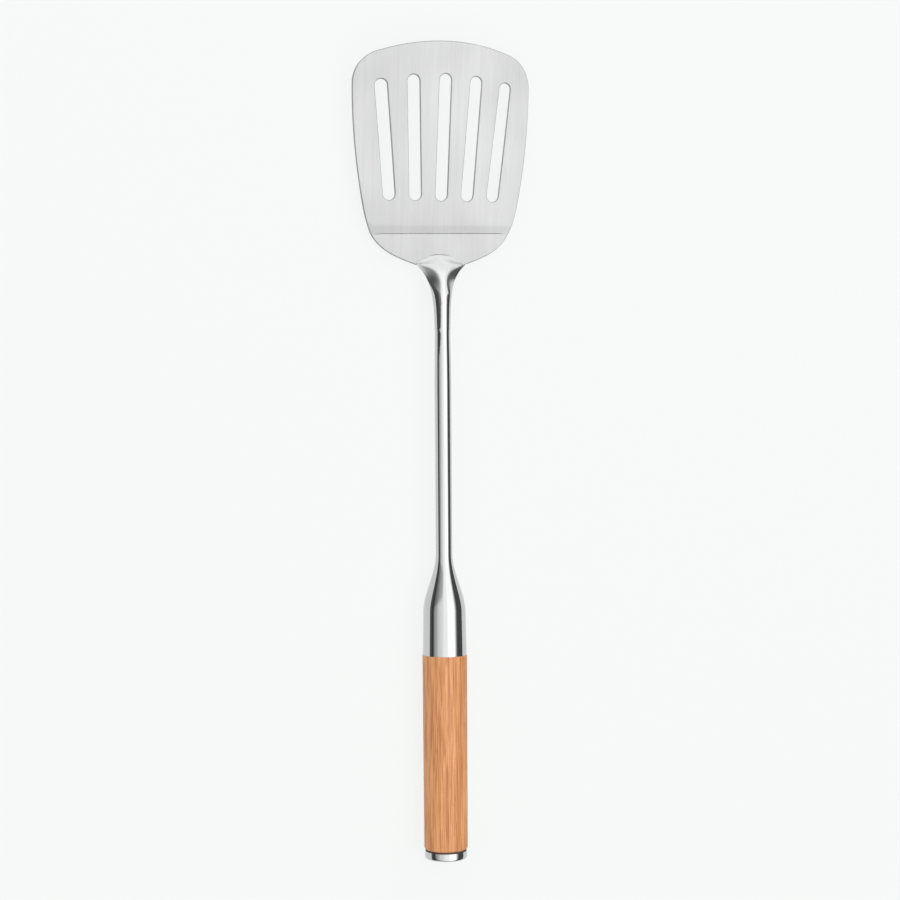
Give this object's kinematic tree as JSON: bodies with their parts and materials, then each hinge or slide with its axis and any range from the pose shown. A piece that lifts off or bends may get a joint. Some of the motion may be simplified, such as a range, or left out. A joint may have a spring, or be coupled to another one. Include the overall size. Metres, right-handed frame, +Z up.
{
  "type": "slotted spatula",
  "caption": "Slotted kitchen spatula: an arched steel blade with fanned drain slots and a creased heel, a slim polished shaft, a bottle-shaped bolster and a turned wooden grip.",
  "frame": {"origin": "on the plane that touches the underside of the grip, under the middle of the length and width", "axes": "+Y along the shaft towards the blade's tip, +X across the blade, +Z up out of the food side"},
  "size_m": [0.0854, 0.381, 0.0215],
  "materials": {
    "brushed_blade": "stainless sheet, brushed lengthwise",
    "polished_steel": "mirror-polished stainless steel",
    "fastener_steel": "plain turned steel",
    "grip_wood": "fine straight-grained hardwood, oiled, satin",
    "gasket_fibre": "dark fibre, matt"
  },
  "bodies": {
    "root": {"blade": "brushed_blade", "shaft": "polished_steel", "bolster": "polished_steel", "bolster_plug": "fastener_steel", "tie_rod": "fastener_steel", "wooden_grip": "grip_wood", "clamp_washer": "fastener_steel", "clamp_nut": "fastener_steel", "cap_gasket": "gasket_fibre", "end_cap": "polished_steel"}
  },
  "joints": []
}
